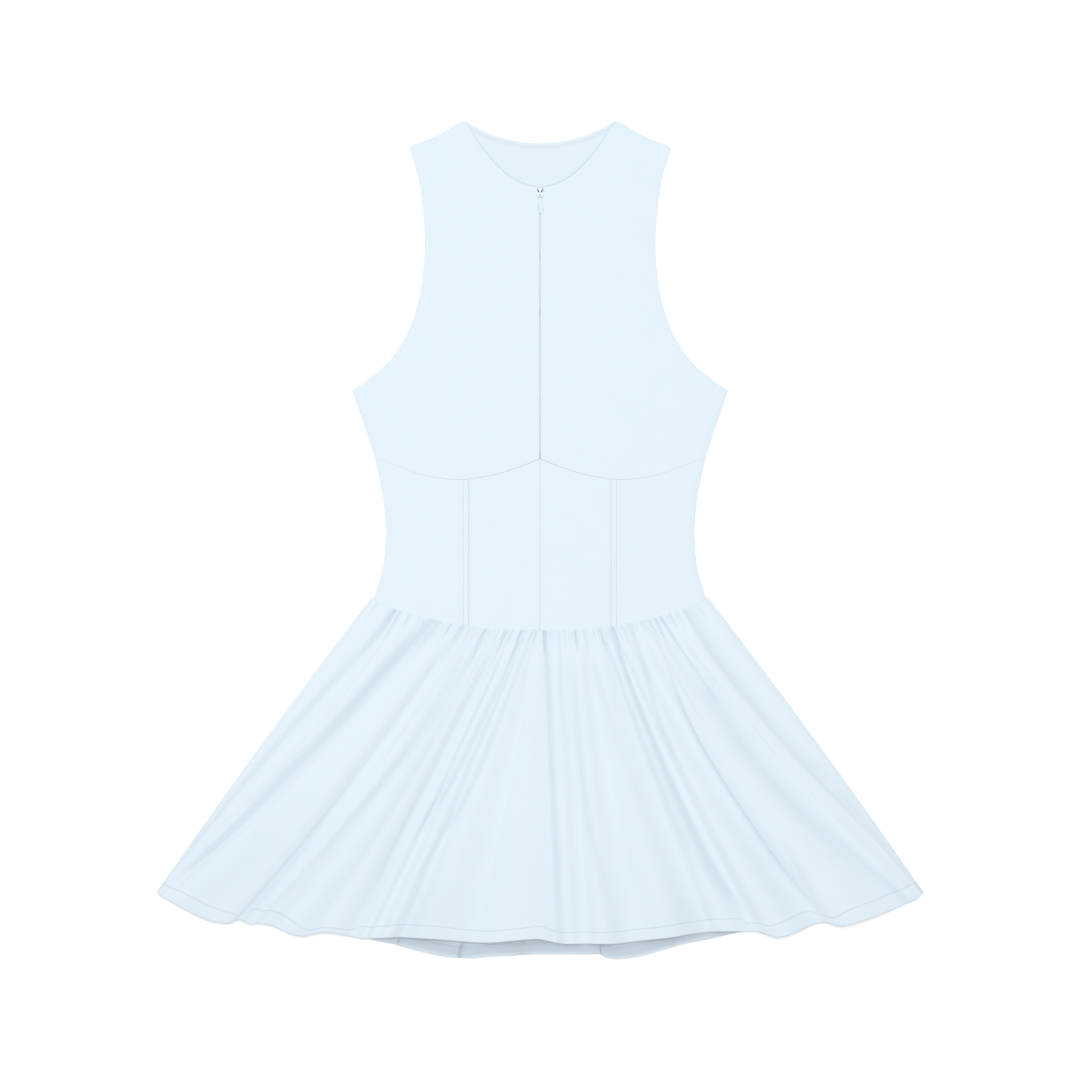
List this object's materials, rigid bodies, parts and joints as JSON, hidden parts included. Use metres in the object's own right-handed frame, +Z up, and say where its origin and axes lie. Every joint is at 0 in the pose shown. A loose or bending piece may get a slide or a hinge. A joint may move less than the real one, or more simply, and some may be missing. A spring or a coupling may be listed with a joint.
{
  "type": "sleeveless zip dress, laid flat",
  "caption": "Sleeveless flared dress laid flat, with a zip front, a panelled waist and a gathered skirt.",
  "frame": {"origin": "on the table under the middle of the dress, at the centre of its bounding box's underside", "axes": "+X across the dress to the picture's right, +Y from the hem to the neck, +Z up off the table"},
  "size_m": [0.767, 0.838, 0.0159],
  "materials": {
    "knit": "smooth matt stretch knit, very pale blue",
    "knit_inside": "wrong side of the same knit, matt",
    "zip_tape": "fine woven tape dyed to match",
    "lacquer": "satin lacquer in the cloth's colour"
  },
  "bodies": {
    "dress": {"body_back": "knit_inside", "skirt_back": "knit_inside", "bust_front_left": "knit", "bust_front_right": "knit", "waist_middle_left": "knit", "waist_middle_right": "knit", "waist_side_left": "knit", "waist_side_right": "knit", "skirt_front": "knit", "zip_tape_left": "zip_tape", "zip_tape_right": "zip_tape", "zip_slider": "lacquer"},
    "pull_tab": {"zip_pull": "lacquer"}
  },
  "joints": [
    {"name": "pull_hinge", "type": "hinge", "parent": "dress", "child": "pull_tab", "pos_m": [0, 0.3438, 0.00665], "axis": [-1, 0, 0], "range_deg": [0, 170]}
  ]
}
